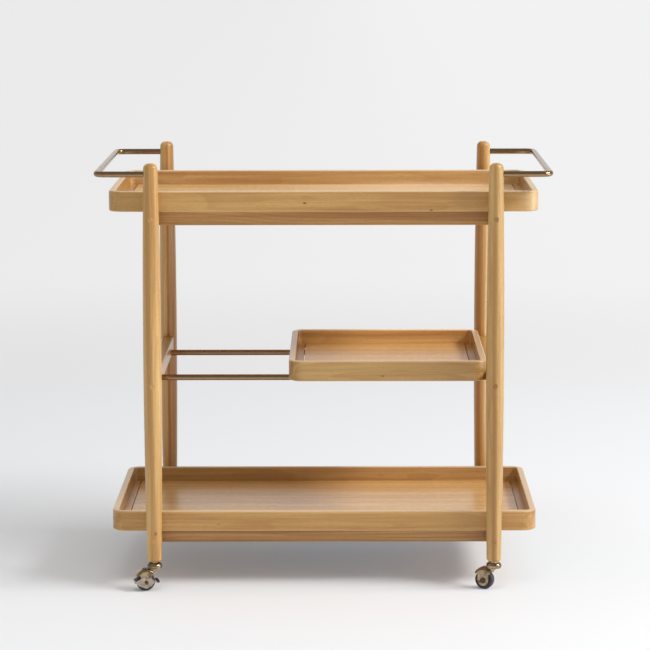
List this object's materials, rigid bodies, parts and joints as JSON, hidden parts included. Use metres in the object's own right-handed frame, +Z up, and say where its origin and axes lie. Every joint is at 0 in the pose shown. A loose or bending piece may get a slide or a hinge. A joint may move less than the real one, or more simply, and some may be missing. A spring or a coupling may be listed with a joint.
{
  "type": "bar cart",
  "caption": "Wooden bar cart with turned legs, two long trays, a short tray that slides on brass rods, brass push handles and swivel casters, two of them braked.",
  "frame": {"origin": "on the floor, midway between the four legs", "axes": "+Z up; +X to the right of a person facing the front, along the trays; +Y from the front to the back"},
  "size_m": [0.912, 0.5503, 0.864],
  "materials": {
    "leg_wood": "satin lacquer on turned acacia, long grain along the leg",
    "rail_wood": "satin lacquer",
    "rim_wood": "satin lacquer, grain along each wall",
    "floor_wood": "satin lacquer, grain along the tray",
    "batten_wood": "satin lacquer",
    "plug_wood": "end grain, flush with the leg",
    "dowel_wood": "bare beech",
    "brass_bar": "brushed antique brass",
    "caster_brass": "polished antique brass",
    "brake_metal": "pressed plate, satin",
    "screw_steel": "zinc plated",
    "insert_steel": "zinc plated",
    "bearing_steel": "polished balls",
    "hub_plastic": "moulded core",
    "tyre_rubber": "smooth soft tread"
  },
  "bodies": {
    "frame": {"front_left_leg": "leg_wood", "front_right_leg": "leg_wood", "back_left_leg": "leg_wood", "back_right_leg": "leg_wood", "top_left_stretcher": "rail_wood", "top_right_stretcher": "rail_wood", "middle_left_stretcher": "rail_wood", "middle_right_stretcher": "rail_wood", "bottom_left_stretcher": "rail_wood", "bottom_right_stretcher": "rail_wood", "top_front_rail": "rail_wood", "top_back_rail": "rail_wood", "bottom_front_rail": "rail_wood", "bottom_back_rail": "rail_wood", "top_tray_rim": "rim_wood", "top_tray_floor": "floor_wood", "top_tray_battens": "batten_wood", "bottom_tray_rim": "rim_wood", "bottom_tray_floor": "floor_wood", "bottom_tray_battens": "batten_wood", "left_handle": "brass_bar", "right_handle": "brass_bar", "front_brass_rod": "brass_bar", "back_brass_rod": "brass_bar", "leg_screws": "screw_steel", "leg_plugs": "plug_wood", "rail_dowels": "dowel_wood", "tray_screws": "screw_steel", "caster_inserts": "insert_steel", "swivel_balls": "bearing_steel", "front_left_caster_stem": "caster_brass", "front_left_caster_cover": "caster_brass", "front_right_caster_stem": "caster_brass", "front_right_caster_cover": "caster_brass", "back_left_caster_stem": "caster_brass", "back_left_caster_cover": "caster_brass", "back_right_caster_stem": "caster_brass", "back_right_caster_cover": "caster_brass"},
    "middle_tray": {"middle_tray_rim": "rim_wood", "middle_tray_floor": "floor_wood", "middle_tray_battens": "batten_wood"},
    "front_left_swivel": {"front_left_caster_fork": "caster_brass", "front_left_caster_axle": "caster_brass"},
    "front_left_wheel": {"front_left_caster_hub": "hub_plastic", "front_left_caster_tyre": "tyre_rubber"},
    "front_left_brake": {"front_left_caster_brake": "brake_metal"},
    "front_right_swivel": {"front_right_caster_fork": "caster_brass", "front_right_caster_axle": "caster_brass"},
    "front_right_wheel": {"front_right_caster_hub": "hub_plastic", "front_right_caster_tyre": "tyre_rubber"},
    "back_left_swivel": {"back_left_caster_fork": "caster_brass", "back_left_caster_axle": "caster_brass"},
    "back_left_wheel": {"back_left_caster_hub": "hub_plastic", "back_left_caster_tyre": "tyre_rubber"},
    "back_left_brake": {"back_left_caster_brake": "brake_metal"},
    "back_right_swivel": {"back_right_caster_fork": "caster_brass", "back_right_caster_axle": "caster_brass"},
    "back_right_wheel": {"back_right_caster_hub": "hub_plastic", "back_right_caster_tyre": "tyre_rubber"}
  },
  "joints": [
    {"name": "middle_tray_slide", "type": "slide", "parent": "frame", "child": "middle_tray", "axis": [1, 0, 0], "range_m": [-0.2576, 0]},
    {"name": "front_left_swivel_turn", "type": "hinge", "parent": "frame", "child": "front_left_swivel", "pos_m": [-0.342, -0.2465, 0.0475], "axis": [0, 0, 1], "continuous": true},
    {"name": "front_left_wheel_spin", "type": "hinge", "parent": "front_left_swivel", "child": "front_left_wheel", "pos_m": [-0.36051, -0.25077, 0.019], "axis": [0.225, -0.9744, 0], "continuous": true},
    {"name": "front_left_brake_tilt", "type": "hinge", "parent": "front_left_swivel", "child": "front_left_brake", "pos_m": [-0.36051, -0.25077, 0.027], "axis": [-0.225, 0.9744, 0], "range_deg": [0, 10]},
    {"name": "front_right_swivel_turn", "type": "hinge", "parent": "frame", "child": "front_right_swivel", "pos_m": [0.342, -0.2465, 0.0475], "axis": [0, 0, 1], "continuous": true},
    {"name": "front_right_wheel_spin", "type": "hinge", "parent": "front_right_swivel", "child": "front_right_wheel", "pos_m": [0.32438, -0.23938, 0.019], "axis": [-0.3746, -0.9272, 0], "continuous": true},
    {"name": "back_left_swivel_turn", "type": "hinge", "parent": "frame", "child": "back_left_swivel", "pos_m": [-0.342, 0.2465, 0.0475], "axis": [0, 0, 1], "continuous": true},
    {"name": "back_left_wheel_spin", "type": "hinge", "parent": "back_left_swivel", "child": "back_left_wheel", "pos_m": [-0.35779, 0.25707, 0.019], "axis": [-0.5563, -0.831, 0], "continuous": true},
    {"name": "back_left_brake_tilt", "type": "hinge", "parent": "back_left_swivel", "child": "back_left_brake", "pos_m": [-0.35779, 0.25707, 0.027], "axis": [0.5563, 0.831, 0], "range_deg": [0, 10]},
    {"name": "back_right_swivel_turn", "type": "hinge", "parent": "frame", "child": "back_right_swivel", "pos_m": [0.342, 0.2465, 0.0475], "axis": [0, 0, 1], "continuous": true},
    {"name": "back_right_wheel_spin", "type": "hinge", "parent": "back_right_swivel", "child": "back_right_wheel", "pos_m": [0.32478, 0.23847, 0.019], "axis": [0.4226, -0.9063, 0], "continuous": true}
  ]
}
